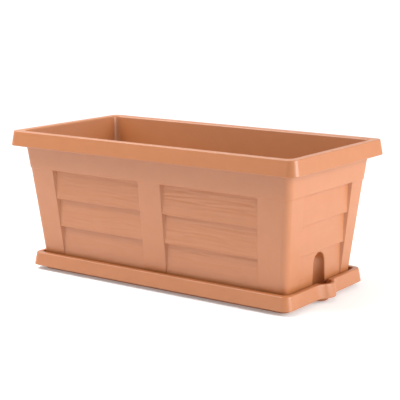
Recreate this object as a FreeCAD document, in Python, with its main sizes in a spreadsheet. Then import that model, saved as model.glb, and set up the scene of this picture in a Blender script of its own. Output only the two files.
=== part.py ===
import FreeCAD, Part
import math
import os

import Sketcher
from FreeCAD import Placement, Rotation, Vector

# Self-watering planter: a tapered soil box that stands in a reservoir tray. A perforated
# false floor inside the box carries four wick cups, which reach down through the floor of
# the box into the water. The tray is filled through a spout at the +X end.
#
# Millimetres, +Z up. The origin is the middle of the footprint, on the ground.
# +X points at the filling spout, and -Y is the front.

DIMENSIONS = [
    # alias, value, what it is
    ("height", 259.7, "ground to the top of the rim"),
    ("rim_length", 600.0, "length over the top edge of the rim"),
    ("rim_width", 299.5, "width over the top edge of the rim"),
    ("rim_flare", 4.7, "how far the lower edge of the rim band stands out past its top edge"),
    ("rim_drop", 26.7, "height of the rim band"),
    ("rim_radius", 13.0, "corner radius of the rim at the top"),
    ("wall", 2.5, "wall thickness of the box and the tray"),
    ("box_length", 569.6, "length of the box just under the rim"),
    ("box_width", 268.9, "width of the box just under the rim"),
    ("box_radius", 12.5, "corner radius of the box"),
    ("box_base", 18.0, "height of the underside of the box"),
    ("end_lean", 0.094, "how far an end leans out for each unit of height"),
    ("side_lean", 0.114, "how far a long side leans out for each unit of height"),
    ("mouth_chamfer", 2.4, "chamfer round the mouth of the box"),
    ("band_step", 1.4, "how far the plain upper band stands proud of the panelled part"),
    ("board_top", 190.6, "top of the highest board"),
    ("board_pitch", 52.2, "height of one board"),
    ("board_depth", 6.8, "depth of a board behind the stiles at its top edge"),
    ("stile_half", 24.0, "half width of the middle stile of a long side"),
    ("side_reach", 220.0, "panel's outer edge on a long side, at board_top"),
    ("side_slope", 0.0577, "how fast that edge draws in"),
    ("end_reach", 80.0, "panel's edge on an end, at board_top"),
    ("end_slope", 0.05, "how fast that edge draws in"),
    ("arch_place", 262.8, "where the axis of the arched recess stands, along X"),
    ("arch_foot_radius", 21.3, "radius of the arched recess at the underside of the box"),
    ("arch_radius", 18.2, "radius of the recess where its dome begins"),
    ("arch_spring", 62.9, "height at which the dome of the recess begins"),
    ("shelf_place", 224.0, "where the shelf that carries the false floor begins"),
    ("shelf_top", 42.0, "height of the top of the shelf"),
    ("shelf_pocket_near", 30.0, "inner edge of the hollow under a shelf, along Y"),
    ("shelf_pocket_far", 98.0, "outer edge of the hollow under a shelf, along Y"),
    ("shelf_pocket_end", 255.0, "outer end of the hollow under a shelf, along X"),
    ("tray_shift", 1.5, "how far the tray sits towards the spout end of the box"),
    ("tray_height", 32.4, "height of the top of the tray"),
    ("skirt_base", 8.4, "height of the lower edge of the tray's skirt"),
    ("skirt_length", 559.9, "length over the lower edge of the skirt"),
    ("skirt_width", 257.2, "width over the lower edge of the skirt"),
    ("skirt_draw", 4.0, "how far the skirt draws in from its lower edge to the top"),
    ("skirt_radius", 15.0, "corner radius of the skirt"),
    ("flange", 8.0, "width of the tray's top flange at the ends"),
    ("pan_length", 528.4, "length of the pan on the ground"),
    ("pan_width", 222.3, "width of the pan on the ground"),
    ("pan_radius", 12.0, "corner radius of the pan"),
    ("well_place", 264.5, "where the axis of the filling well stands in the tray, along X"),
    ("well_radius", 19.0, "inside radius of the well at the top of the tray"),
    ("well_foot_radius", 11.5, "inside radius of the well at its floor"),
    ("spout_reach", 292.8, "how far the lower edge of the spout stands out in the tray, along X"),
    ("spout_radius", 24.0, "radius of the nose of the spout"),
    ("spout_half", 38.0, "half width over which the spout blends into the skirt"),
    ("spout_root", 268.5, "where the spout starts inside the skirt, along X"),
    ("boss_radius", 12.0, "radius of a boss that carries the box"),
    ("boss_spread", 195.0, "distance of the end bosses from the middle, along X"),
    ("boss_offset", 80.0, "distance of the bosses from the middle, along Y"),
    ("grid_length", 472.0, "length of the false floor"),
    ("grid_width", 205.0, "width of the false floor"),
    ("grid_radius", 12.0, "corner radius of the false floor"),
    ("rib_place", 160.0, "distance of the outer ribs of the false floor from the middle"),
    ("rib_half", 98.0, "half length of a rib"),
    ("rib_thick", 4.0, "thickness of a rib"),
    ("slot_wide", 4.0, "width of a slot in the false floor"),
    ("slot_near", 12.0, "inner end of a slot, along Y"),
    ("slot_far", 92.0, "outer end of a slot, along Y"),
    ("slot_pitch", 15.0, "spacing of the slots, along X"),
    ("slot_gap", 12.0, "distance of the first end slot from the outer rib, along X"),
    ("cup_spread", 125.0, "distance of the cups from the middle, along X"),
    ("cup_offset", 48.0, "distance of the cups from the middle, along Y"),
    ("cup_base", 6.0, "height of the underside of a cup"),
    ("cup_radius", 25.8, "outside radius of a cup under its flange"),
    ("cup_foot_radius", 21.0, "outside radius of a cup at its underside"),
    ("cup_flange_radius", 31.0, "radius of the flange that hangs the cup"),
    ("cup_wall", 2.0, "wall thickness of a cup"),
    ("cup_bead", 1.4, "how far the snap bead stands out of the cup"),
    ("cup_bead_gap", 0.4, "play between the snap bead and the false floor above it"),
    ("cup_bead_tall", 1.2, "height of the snap bead where it stands out the most"),
    ("cup_bead_lead", 1.0, "height of the slope under the snap bead"),
    ("cup_hole_radius", 26.6, "radius of the cup's hole in the false floor"),
    ("cup_passage_radius", 28.5, "radius of the cup's passage in the floor of the box"),
    ("cup_slot_wide", 3.0, "width of a slot in the side of a cup"),
    ("cup_slot_low", 12.0, "height of the lower end of such a slot"),
    ("cup_slot_high", 35.0, "height of the upper end of such a slot"),
]

BOARDS = 3
CUP_SLOTS = 8
MIDDLE_SLOTS = 12
END_SLOTS = 4
PAST = "1"  # how far a cut runs past the face that it opens

# Levels and sizes that follow from the driving dimensions, as expressions.
RIM_BASE = "(dims.height - dims.rim_drop)"
BOX_FLOOR = "(dims.box_base + dims.wall)"
GRID_TOP = "(dims.shelf_top + dims.wall)"
DECK_UNDERSIDE = "(dims.tray_height - dims.wall)"
SKIRT_TOP_LENGTH = "(dims.skirt_length - 2 * dims.skirt_draw)"


def make_sheet(doc):
    """Put the driving dimensions in a spreadsheet, one named cell each."""
    sheet = doc.addObject("Spreadsheet::Sheet", "dims")
    for row, (alias, number, note) in enumerate(DIMENSIONS, start=1):
        sheet.set(f"A{row}", alias)
        sheet.set(f"B{row}", str(number))
        sheet.setAlias(f"B{row}", alias)
        sheet.set(f"C{row}", note)
    doc.recompute()
    return sheet


def value(expression):
    """Evaluate an expression that refers to the sheet."""
    return float(SHEET.evalExpression(expression))


# ---- sketches -------------------------------------------------------------------------


def origin_feature(body, role):
    """Find one of the body's own origin planes or axes by its role."""
    for feature in body.Origin.OriginFeatures:
        if feature.Role == role:
            return feature
    raise ValueError(f"{body.Name} has no {role}")


def new_sketch(body, name, role, level="0", shift="0"):
    """Start a sketch on an origin plane, moved along its normal and along its first axis."""
    sketch = body.newObject("Sketcher::SketchObject", name)
    sketch.AttachmentSupport = [(origin_feature(body, role), "")]
    sketch.MapMode = "FlatFace"
    sketch.setExpression("AttachmentOffset.Base.z", level)
    sketch.setExpression("AttachmentOffset.Base.x", shift)
    return sketch


def bind(sketch, name, expression, kind, *where):
    """Add a dimension to a sketch and drive it by an expression."""
    index = sketch.addConstraint(Sketcher.Constraint(kind, *where, value(expression)))
    sketch.renameConstraint(index, name)
    sketch.setExpression(f"Constraints.{name}", expression)


def add_arc(sketch, centre, radius, start, end):
    """Add an arc that runs anticlockwise between two angles in degrees."""
    circle = Part.Circle(centre, Vector(0, 0, 1), radius)
    arc = Part.ArcOfCircle(circle, math.radians(start), math.radians(end))
    return sketch.addGeometry(arc, False)


def add_line(sketch, start, end):
    """Add a line from one point to another."""
    return sketch.addGeometry(Part.LineSegment(start, end), False)


def add_polygon(sketch, prefix, corners):
    """Add a closed polygon whose corners are pairs of expressions."""
    points = [Vector(value(x), value(y), 0) for x, y in corners]
    lines = [add_line(sketch, a, b) for a, b in zip(points, points[1:] + points[:1])]
    for line, following in zip(lines, lines[1:] + lines[:1]):
        sketch.addConstraint(Sketcher.Constraint("Coincident", line, 2, following, 1))
    for number, (line, (x, y)) in enumerate(zip(lines, corners)):
        bind(sketch, f"{prefix}_across_{number}", x, "DistanceX", -1, 1, line, 1)
        bind(sketch, f"{prefix}_up_{number}", y, "DistanceY", -1, 1, line, 1)


def add_circle(sketch, name, x, y, radius):
    """Add a circle whose centre and radius are expressions."""
    centre = Vector(value(x), value(y), 0)
    circle = sketch.addGeometry(Part.Circle(centre, Vector(0, 0, 1), value(radius)), False)
    bind(sketch, f"{name}_across", x, "DistanceX", -1, 1, circle, 3)
    bind(sketch, f"{name}_up", y, "DistanceY", -1, 1, circle, 3)
    bind(sketch, f"{name}_radius", radius, "Radius", circle)


def rounded_outline(body, name, level, length, width, radius):
    """Sketch a rectangle with round corners, level with the ground and centred on the axis."""
    sketch = new_sketch(body, name, "XY_Plane", level)
    a = value(length) / 2
    b = value(width) / 2
    r = value(radius)
    front = add_line(sketch, Vector(r - a, -b, 0), Vector(a - r, -b, 0))
    front_right = add_arc(sketch, Vector(a - r, r - b, 0), r, -90, 0)
    right = add_line(sketch, Vector(a, r - b, 0), Vector(a, b - r, 0))
    back_right = add_arc(sketch, Vector(a - r, b - r, 0), r, 0, 90)
    back = add_line(sketch, Vector(a - r, b, 0), Vector(r - a, b, 0))
    back_left = add_arc(sketch, Vector(r - a, b - r, 0), r, 90, 180)
    left = add_line(sketch, Vector(-a, b - r, 0), Vector(-a, r - b, 0))
    front_left = add_arc(sketch, Vector(r - a, r - b, 0), r, 180, 270)
    loop = [front, front_right, right, back_right, back, back_left, left, front_left]
    for edge, following in zip(loop, loop[1:] + loop[:1]):
        sketch.addConstraint(Sketcher.Constraint("Tangent", edge, 2, following, 1))
    for edge in (front, back):
        sketch.addConstraint(Sketcher.Constraint("Horizontal", edge))
    for edge in (left, right):
        sketch.addConstraint(Sketcher.Constraint("Vertical", edge))
    for corner in (back_right, back_left, front_left):
        sketch.addConstraint(Sketcher.Constraint("Equal", front_right, corner))
    sketch.addConstraint(Sketcher.Constraint("Symmetric", front, 1, back, 1, -1, 1))
    bind(sketch, "length", length, "DistanceX", left, 1, right, 1)
    bind(sketch, "width", width, "DistanceY", front, 1, back, 1)
    bind(sketch, "radius", radius, "Radius", front_right)
    return sketch


# ---- features -------------------------------------------------------------------------


def new_body(name):
    """Start a body that is one sub-part, or one of the two halves of its mould."""
    body = DOC.addObject("PartDesign::Body", name)
    body.Label = name
    body.Placement = Placement(Vector(0, 0, 0), Rotation())
    return body


def loft(body, kind, name, sections):
    """Join outlines at different levels by straight walls; kind is Additive or Subtractive."""
    feature = body.newObject(f"PartDesign::{kind}Loft", name)
    feature.Profile = sections[0]
    feature.Sections = sections[1:]
    feature.Ruled = True
    return feature


def extrude(body, kind, name, sketch, length, reverse=False):
    """Pad or pocket a sketch by a length; a pocket that isn't reversed runs against the normal."""
    feature = body.newObject(f"PartDesign::{kind}", name)
    feature.Profile = sketch
    feature.setExpression("Length", length)
    feature.Reversed = reverse
    return feature


def turn(body, kind, name, sketch):
    """Revolve or groove a sketch a full turn about its own upright axis."""
    feature = body.newObject(f"PartDesign::{kind}", name)
    feature.Profile = sketch
    feature.ReferenceAxis = (sketch, ["V_Axis"])
    feature.Angle = 360
    return feature


# ---- the soil box ---------------------------------------------------------------------


def stile_half_size(size, level):
    """Half the length or width of the box over its stiles at a level, as an expression."""
    lean = "end_lean" if size == "box_length" else "side_lean"
    return f"(dims.{size} / 2 - dims.band_step - dims.{lean} * ({RIM_BASE} - {level}))"


def box_outline(body, name, level, margin):
    """Outline of the box over its stiles at a level, drawn in by a margin."""
    length = f"2 * ({stile_half_size('box_length', level)} - {margin})"
    width = f"2 * ({stile_half_size('box_width', level)} - {margin})"
    return rounded_outline(body, name, level, length, width, f"dims.box_radius - {margin}")


def board_pockets(body, margin):
    """Cut the three lapped boards into each side and each end of the box.

    A board is upright while the wall leans, so its lower edge overhangs the next board.
    With a margin the same cuts make room for the wall behind the boards.
    """
    for board in range(BOARDS):
        top = f"(dims.board_top - {board} * dims.board_pitch)"
        is_lowest = board == BOARDS - 1
        bottom = f"(dims.box_base - {PAST})" if is_lowest else f"({top} - dims.board_pitch)"
        high = f"({top} + {margin})"

        plane = f"({stile_half_size('box_width', top)} - dims.board_depth - {margin})"
        near = f"(dims.stile_half - {margin})"
        far_high = f"(dims.side_reach - dims.side_slope * (dims.board_top - {high}) + {margin})"
        far_low = f"(dims.side_reach - dims.side_slope * (dims.board_top - {bottom}) + {margin})"
        right = [(near, bottom), (far_low, bottom), (far_high, high), (near, high)]
        left = [(f"-{x}", z) for x, z in right]
        pocket_pair(body, f"side_board_{board}", "XZ_Plane", plane, [right, left])

        plane = f"({stile_half_size('box_length', top)} - dims.board_depth - {margin})"
        end_high = f"(dims.end_reach - dims.end_slope * (dims.board_top - {high}) + {margin})"
        end_low = f"(dims.end_reach - dims.end_slope * (dims.board_top - {bottom}) + {margin})"
        panel = [
            (f"-{end_low}", bottom), (end_low, bottom), (end_high, high), (f"-{end_high}", high)
        ]
        pocket_pair(body, f"end_board_{board}", "YZ_Plane", plane, [panel])


def pocket_pair(body, name, role, plane, polygons):
    """Cut the same polygons outwards from two planes, one on each side of the box."""
    for sign in (1, -1):
        side = name_of(sign)
        sketch = new_sketch(body, f"{name}_{side}_sketch", role, f"{sign} * {plane}")
        for number, corners in enumerate(polygons):
            add_polygon(sketch, f"panel_{number}", corners)
        extrude(body, "Pocket", f"{name}_{side}", sketch, "3 * dims.board_depth", sign > 0)


def arch_recess(body, margin):
    """Turn the arched recess above the filling spout out of the +X end."""
    sketch = new_sketch(body, "arch_sketch", "XZ_Plane", shift="dims.arch_place")
    base = f"dims.box_base - {PAST}"
    foot_radius = f"dims.arch_foot_radius + {margin}"
    radius = f"dims.arch_radius + {margin}"
    low = value(base)
    spring = value("dims.arch_spring")
    dome = value(radius)
    floor = add_line(sketch, Vector(0, low, 0), Vector(value(foot_radius), low, 0))
    flank = add_line(sketch, Vector(value(foot_radius), low, 0), Vector(dome, spring, 0))
    crown = add_arc(sketch, Vector(0, spring, 0), dome, 0, 90)
    axis = add_line(sketch, Vector(0, spring + dome, 0), Vector(0, low, 0))
    loop = [floor, flank, crown, axis]
    for edge, following in zip(loop, loop[1:] + loop[:1]):
        sketch.addConstraint(Sketcher.Constraint("Coincident", edge, 2, following, 1))
    sketch.addConstraint(Sketcher.Constraint("Horizontal", floor))
    sketch.addConstraint(Sketcher.Constraint("PointOnObject", crown, 3, -2))
    sketch.addConstraint(Sketcher.Constraint("PointOnObject", axis, 1, -2))
    sketch.addConstraint(Sketcher.Constraint("PointOnObject", axis, 2, -2))
    bind(sketch, "base", base, "DistanceY", -1, 1, floor, 1)
    bind(sketch, "foot_radius", foot_radius, "DistanceX", floor, 1, floor, 2)
    bind(sketch, "spring", "dims.arch_spring", "DistanceY", -1, 1, crown, 3)
    bind(sketch, "spring_of_flank", "dims.arch_spring", "DistanceY", -1, 1, flank, 2)
    bind(sketch, "radius", radius, "Radius", crown)
    turn(body, "Groove", "arch_recess", sketch)


def make_box_outside():
    """The outside of the box, as a full block: rim, plain band, stiles, boards and recess."""
    body = new_body("planter_box_outside")
    base_length = "dims.rim_length + 2 * dims.rim_flare"
    base_width = "dims.rim_width + 2 * dims.rim_flare"
    base_radius = "dims.rim_radius + dims.rim_flare"
    rim_base = rounded_outline(body, "rim_base", RIM_BASE, base_length, base_width, base_radius)
    rim_top = rounded_outline(
        body, "rim_top", "dims.height", "dims.rim_length", "dims.rim_width", "dims.rim_radius"
    )
    loft(body, "Additive", "rim_band", [rim_base, rim_top])

    # The band is a thin skirt under a flat lip, open below, where fingers lift the box.
    lip_underside = "dims.height - dims.wall"
    lip_spread = "2 * dims.rim_flare * dims.wall / dims.rim_drop - 2 * dims.wall"
    hollow_base = rounded_outline(
        body, "rim_hollow_base", RIM_BASE, f"{base_length} - 2 * dims.wall",
        f"{base_width} - 2 * dims.wall", f"{base_radius} - dims.wall",
    )
    hollow_top = rounded_outline(
        body, "rim_hollow_top", lip_underside, f"dims.rim_length + {lip_spread}",
        f"dims.rim_width + {lip_spread}", "dims.rim_radius - dims.wall",
    )
    loft(body, "Subtractive", "rim_hollow", [hollow_base, hollow_top])

    panelled_base = box_outline(body, "panelled_base", "dims.box_base", "0")
    panelled_top = box_outline(body, "panelled_top", "dims.board_top", "0")
    loft(body, "Additive", "panelled_wall", [panelled_base, panelled_top])
    band_base = box_outline(body, "band_base", "dims.board_top", "(-dims.band_step)")
    band_top = box_outline(body, "band_top", "dims.height", "(-dims.band_step)")
    loft(body, "Additive", "plain_band", [band_base, band_top])

    board_pockets(body, "0")
    arch_recess(body, "0")
    shelf_hollows(body)
    cup_passages(body)
    return body


def shelf_hollows(body):
    """Hollow out the steps under the two shelves from below."""
    sketch = new_sketch(body, "shelf_hollow_sketch", "XY_Plane", "dims.box_base")
    near_x = "dims.shelf_place + dims.wall"
    for end in (1, -1):
        for side in (1, -1):
            corners = [
                (f"{end} * ({near_x})", f"{side} * dims.shelf_pocket_near"),
                (f"{end} * dims.shelf_pocket_end", f"{side} * dims.shelf_pocket_near"),
                (f"{end} * dims.shelf_pocket_end", f"{side} * dims.shelf_pocket_far"),
                (f"{end} * ({near_x})", f"{side} * dims.shelf_pocket_far"),
            ]
            add_polygon(sketch, f"{name_of(end)}_{name_of(side)}", corners)
    depth = "dims.shelf_top - dims.wall - dims.box_base"
    extrude(body, "Pocket", "shelf_hollows", sketch, depth, True)


def name_of(sign):
    """A word for a sign, for the names of constraints."""
    return "plus" if sign > 0 else "minus"


def cup_places():
    """The four places of the wick cups, as pairs of expressions."""
    return [
        (f"{x} * dims.cup_spread", f"{y} * dims.cup_offset")
        for x in (-1, 1)
        for y in (-1, 1)
    ]


def cup_passages(body):
    """Open the floor of the box where the wick cups reach down into the water."""
    sketch = new_sketch(body, "passage_sketch", "XY_Plane", "dims.box_base")
    for number, (x, y) in enumerate(cup_places()):
        add_circle(sketch, f"passage_{number}", x, y, "dims.cup_passage_radius")
    extrude(body, "Pocket", "cup_passages", sketch, f"dims.wall + {PAST}", True)


def make_box_core():
    """The hollow of the box, as a block: it leaves the wall, the floor and the two shelves."""
    body = new_body("planter_box_core")
    shoulder = "(dims.board_top + dims.wall)"
    floor = box_outline(body, "core_floor", BOX_FLOOR, "dims.wall")
    neck = box_outline(body, "core_neck", shoulder, "dims.wall")
    loft(body, "Additive", "core_flanks", [floor, neck])

    # Behind the plain band the hollow is wider, and a chamfer opens its mouth.
    band_margin = "(dims.wall - dims.band_step)"
    mouth_margin = "(dims.wall - dims.band_step - dims.mouth_chamfer)"
    chamfer_base = "(dims.height - dims.mouth_chamfer)"
    band_low = box_outline(body, "core_band_low", shoulder, band_margin)
    band_high = box_outline(body, "core_band_high", chamfer_base, band_margin)
    mouth = box_outline(body, "core_mouth", "dims.height", mouth_margin)
    loft(body, "Additive", "core_band", [band_low, band_high, mouth])

    sketch = new_sketch(body, "shelf_sketch", "XY_Plane", f"{BOX_FLOOR} - {PAST}")
    for end in (1, -1):
        far_x = f"{end} * dims.box_length / 2"
        near_x = f"{end} * dims.shelf_place"
        half = "dims.box_width / 2"
        corners = [(near_x, f"-{half}"), (far_x, f"-{half}"), (far_x, half), (near_x, half)]
        add_polygon(sketch, name_of(end), corners)
    depth = f"dims.shelf_top - {BOX_FLOOR} + {PAST}"
    extrude(body, "Pocket", "shelves", sketch, depth, True)

    board_pockets(body, "dims.wall")
    arch_recess(body, "dims.wall")
    return body


def make_planter_box():
    """The soil box: its outside with its core taken away."""
    box = DOC.addObject("Part::Cut", "planter_box")
    box.Base = make_box_outside()
    box.Tool = make_box_core()
    box.Refine = True
    box.Label = "planter_box"
    box.Placement = Placement(Vector(0, 0, 0), Rotation())
    return box


# ---- the reservoir tray ---------------------------------------------------------------


def spout_outline(body, name, level, skirt_half, reach, margin):
    """Sketch the nose of the spout, which blends into the skirt by two hollow arcs."""
    sketch = new_sketch(body, name, "XY_Plane", level)
    root = value("dims.spout_root")
    line_x = value(f"{skirt_half} - {margin}")
    half = value("dims.spout_half")
    nose = value(f"dims.spout_radius - {margin}")
    centre_x = value(f"{reach} - dims.spout_radius")
    inset = line_x - centre_x
    blend = (inset ** 2 + half ** 2 - nose ** 2) / (2 * (nose - inset))
    lean = math.degrees(math.atan2(half, inset + blend))

    base = add_line(sketch, Vector(root, half, 0), Vector(root, -half, 0))
    near_side = add_line(sketch, Vector(root, -half, 0), Vector(line_x, -half, 0))
    near_blend = add_arc(sketch, Vector(line_x + blend, -half, 0), blend, 180 - lean, 180)
    tip = add_arc(sketch, Vector(centre_x, 0, 0), nose, -lean, lean)
    far_blend = add_arc(sketch, Vector(line_x + blend, half, 0), blend, 180, 180 + lean)
    far_side = add_line(sketch, Vector(line_x, half, 0), Vector(root, half, 0))

    join = [
        ("Coincident", base, 2, near_side, 1), ("Coincident", far_side, 2, base, 1),
        ("Coincident", near_side, 2, near_blend, 2), ("Tangent", near_blend, 1, tip, 1),
        ("Tangent", tip, 2, far_blend, 2), ("Coincident", far_blend, 1, far_side, 1),
    ]
    for constraint in join:
        sketch.addConstraint(Sketcher.Constraint(*constraint))
    for side in (near_side, far_side):
        sketch.addConstraint(Sketcher.Constraint("Horizontal", side))
    for arc, side in ((near_blend, near_side), (far_blend, far_side)):
        sketch.addConstraint(Sketcher.Constraint("PointOnObject", arc, 3, side))
    sketch.addConstraint(Sketcher.Constraint("Symmetric", base, 1, base, 2, -1))
    sketch.addConstraint(Sketcher.Constraint("PointOnObject", tip, 3, -1))
    bind(sketch, "root", "dims.spout_root", "DistanceX", -1, 1, base, 1)
    bind(sketch, "half", "2 * dims.spout_half", "DistanceY", base, 2, base, 1)
    bind(sketch, "near_skirt", f"{skirt_half} - {margin}", "DistanceX", -1, 1, near_side, 2)
    bind(sketch, "far_skirt", f"{skirt_half} - {margin}", "DistanceX", -1, 1, far_side, 1)
    bind(sketch, "nose", f"dims.spout_radius - {margin}", "Radius", tip)
    bind(sketch, "centre", f"{reach} - dims.spout_radius", "DistanceX", -1, 1, tip, 3)
    return sketch


def skirt_loft(body, kind, name, top_level, margin):
    """The skirt between its lower edge and a level, drawn in by a margin."""
    drawn = f"2 * dims.skirt_draw * ({top_level} - dims.skirt_base)"
    drawn += " / (dims.tray_height - dims.skirt_base)"
    base = rounded_outline(
        body, f"{name}_base", "dims.skirt_base", f"dims.skirt_length - 2 * {margin}",
        f"dims.skirt_width - 2 * {margin}", f"dims.skirt_radius - {margin}",
    )
    top = rounded_outline(
        body, f"{name}_top", top_level, f"dims.skirt_length - 2 * {margin} - {drawn}",
        f"dims.skirt_width - 2 * {margin} - {drawn}",
        f"dims.skirt_radius - {margin} - dims.skirt_draw / 2",
    )
    loft(body, kind, name, [base, top])

    spout_name = name.replace("skirt", "spout")
    half = "(dims.skirt_length / 2)"
    spout_base = spout_outline(
        body, f"{spout_name}_base", "dims.skirt_base", half, "dims.spout_reach", margin
    )
    spout_top = spout_outline(
        body, f"{spout_name}_top", top_level, f"({half} - {drawn} / 2)",
        f"(dims.spout_reach - {drawn} / 2)", margin,
    )
    loft(body, kind, spout_name, [spout_base, spout_top])


def pan_loft(body, kind, name, low, high, margin):
    """The pan between two levels; it widens until it meets the flange."""
    flare = f"({SKIRT_TOP_LENGTH} - 2 * dims.flange + 2 * dims.wall - dims.pan_length)"
    sections = []
    for end, level in (("low", low), ("high", high)):
        spread = f"{flare} * {level} / dims.tray_height - 2 * {margin}"
        sections.append(rounded_outline(
            body, f"{name}_{end}", level, f"dims.pan_length + {spread}",
            f"dims.pan_width + {spread}", f"dims.pan_radius - {margin}",
        ))
    loft(body, kind, name, sections)


def well_turn(body, kind, name, low, high, margin):
    """The round filling well between two levels, made wider by a margin."""
    sketch = new_sketch(body, f"{name}_sketch", "XZ_Plane", shift="dims.well_place")
    grow = "(dims.well_radius - dims.well_foot_radius) / (dims.tray_height - dims.wall)"
    radius_low = f"dims.well_foot_radius + ({low} - dims.wall) * {grow} + {margin}"
    radius_high = f"dims.well_foot_radius + ({high} - dims.wall) * {grow} + {margin}"
    add_polygon(sketch, "well", [("0", low), (radius_low, low), (radius_high, high), ("0", high)])
    turn(body, kind, name, sketch)


def make_reservoir_tray():
    """The tray: a pan that holds the water, inside a skirt with a filling spout."""
    body = new_body("reservoir_tray")
    body.setExpression("Placement.Base.x", "dims.tray_shift")
    skirt_loft(body, "Additive", "skirt_block", "dims.tray_height", "0")
    skirt_loft(body, "Subtractive", "skirt_hollow", DECK_UNDERSIDE, "dims.wall")
    overlap = f"({DECK_UNDERSIDE} + {PAST})"
    pan_loft(body, "Additive", "pan_block", "0", overlap, "0")
    well_turn(body, "Revolution", "well_block", "0", overlap, "dims.wall")
    pan_loft(body, "Subtractive", "pan_hollow", "dims.wall", "dims.tray_height", "dims.wall")
    well_turn(body, "Groove", "well_hollow", "dims.wall", "dims.tray_height", "0")

    # Six bosses on the floor of the pan carry the box above the water.
    sketch = new_sketch(body, "boss_sketch", "XY_Plane", "dims.wall")
    for column in (-1, 0, 1):
        for side in (-1, 1):
            name = f"boss_{column + 1}_{name_of(side)}"
            across = f"{column} * dims.boss_spread"
            add_circle(sketch, name, across, f"{side} * dims.boss_offset", "dims.boss_radius")
    extrude(body, "Pad", "bosses", sketch, "dims.box_base - dims.wall")
    return body


# ---- the false floor and its wick cups --------------------------------------------------


def slot_row(body, name, first, count):
    """Cut a pair of slots across the false floor and repeat it along X."""
    sketch = new_sketch(body, f"{name}_sketch", "XY_Plane", GRID_TOP)
    left = f"{first} - dims.slot_wide / 2"
    right = f"{first} + dims.slot_wide / 2"
    for side in (-1, 1):
        near = f"{side} * dims.slot_near"
        far = f"{side} * dims.slot_far"
        corners = [(left, near), (right, near), (right, far), (left, far)]
        add_polygon(sketch, name_of(side), corners)
    slots = extrude(body, "Pocket", f"{name}_pair", sketch, f"dims.wall + {PAST}")
    pattern = body.newObject("PartDesign::LinearPattern", name)
    pattern.Originals = [slots]
    pattern.Direction = (origin_feature(body, "X_Axis"), [""])
    pattern.setExpression("Length", f"{count - 1} * dims.slot_pitch")
    pattern.Occurrences = count
    body.Tip = pattern


def make_separator_grid():
    """The perforated false floor: it keeps the soil above the water."""
    body = new_body("separator_grid")
    plate = rounded_outline(
        body, "plate_outline", "dims.shelf_top", "dims.grid_length", "dims.grid_width",
        "dims.grid_radius",
    )
    extrude(body, "Pad", "plate", plate, "dims.wall")

    sketch = new_sketch(body, "rib_sketch", "XY_Plane", BOX_FLOOR)
    for column in (-1, 0, 1):
        left = f"{column} * dims.rib_place - dims.rib_thick / 2"
        right = f"{column} * dims.rib_place + dims.rib_thick / 2"
        corners = [
            (left, "-dims.rib_half"), (right, "-dims.rib_half"),
            (right, "dims.rib_half"), (left, "dims.rib_half"),
        ]
        add_polygon(sketch, f"rib_{column + 1}", corners)
    extrude(body, "Pad", "ribs", sketch, f"dims.shelf_top - {BOX_FLOOR}")

    sketch = new_sketch(body, "cup_hole_sketch", "XY_Plane", GRID_TOP)
    for number, (x, y) in enumerate(cup_places()):
        add_circle(sketch, f"hole_{number}", x, y, "dims.cup_hole_radius")
    extrude(body, "Pocket", "cup_holes", sketch, f"dims.wall + {PAST}")

    middle_first = f"-{(MIDDLE_SLOTS - 1) / 2} * dims.slot_pitch"
    end_first = "(dims.rib_place + dims.slot_gap)"
    slot_row(body, "middle_slots", middle_first, MIDDLE_SLOTS)
    slot_row(body, "right_slots", end_first, END_SLOTS)
    slot_row(body, "left_slots", f"-({end_first} + {END_SLOTS - 1} * dims.slot_pitch)", END_SLOTS)
    return body


def make_wick_cup(name, x, y):
    """A slotted cup full of soil that draws the water up; it snaps into the false floor."""
    body = new_body(name)
    body.setExpression("Placement.Base.x", x)
    body.setExpression("Placement.Base.y", y)

    bead_high = "(dims.shelf_top - dims.cup_bead_gap)"
    bead_mid = f"({bead_high} - dims.cup_bead_tall)"
    bead_low = f"({bead_mid} - dims.cup_bead_lead)"
    inner_radius = "dims.cup_radius - dims.cup_wall"
    inner_floor = "dims.cup_base + dims.cup_wall"
    flange_top = f"{GRID_TOP} + dims.cup_wall"
    sketch = new_sketch(body, "profile", "XZ_Plane")
    add_polygon(sketch, "cup", [
        ("0", "dims.cup_base"),
        ("dims.cup_foot_radius", "dims.cup_base"),
        ("dims.cup_radius", bead_low),
        ("dims.cup_radius + dims.cup_bead", bead_mid),
        ("dims.cup_radius + dims.cup_bead", bead_high),
        ("dims.cup_radius", bead_high),
        ("dims.cup_radius", GRID_TOP),
        ("dims.cup_flange_radius", GRID_TOP),
        ("dims.cup_flange_radius", flange_top),
        (inner_radius, flange_top),
        (inner_radius, bead_low),
        ("dims.cup_foot_radius - dims.cup_wall", inner_floor),
        ("0", inner_floor),
    ])
    turn(body, "Revolution", "shell", sketch)

    sketch = new_sketch(body, "slot_sketch", "XZ_Plane")
    half = "dims.cup_slot_wide / 2"
    corners = [
        (f"-{half}", "dims.cup_slot_low"), (half, "dims.cup_slot_low"),
        (half, "dims.cup_slot_high"), (f"-{half}", "dims.cup_slot_high"),
    ]
    add_polygon(sketch, "slot", corners)
    slot = extrude(body, "Pocket", "slot", sketch, "dims.cup_radius + dims.cup_wall")
    pattern = body.newObject("PartDesign::PolarPattern", "slots")
    pattern.Originals = [slot]
    pattern.Axis = (origin_feature(body, "Z_Axis"), [""])
    pattern.Angle = 360
    pattern.Occurrences = CUP_SLOTS
    body.Tip = pattern
    return body


# ---- build, check and write -------------------------------------------------------------


def check_document():
    """Stop if any object failed to build."""
    for item in DOC.Objects:
        if {"Invalid", "Error"} & set(item.State):
            raise RuntimeError(f"{item.Label} failed: {item.State}")


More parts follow.
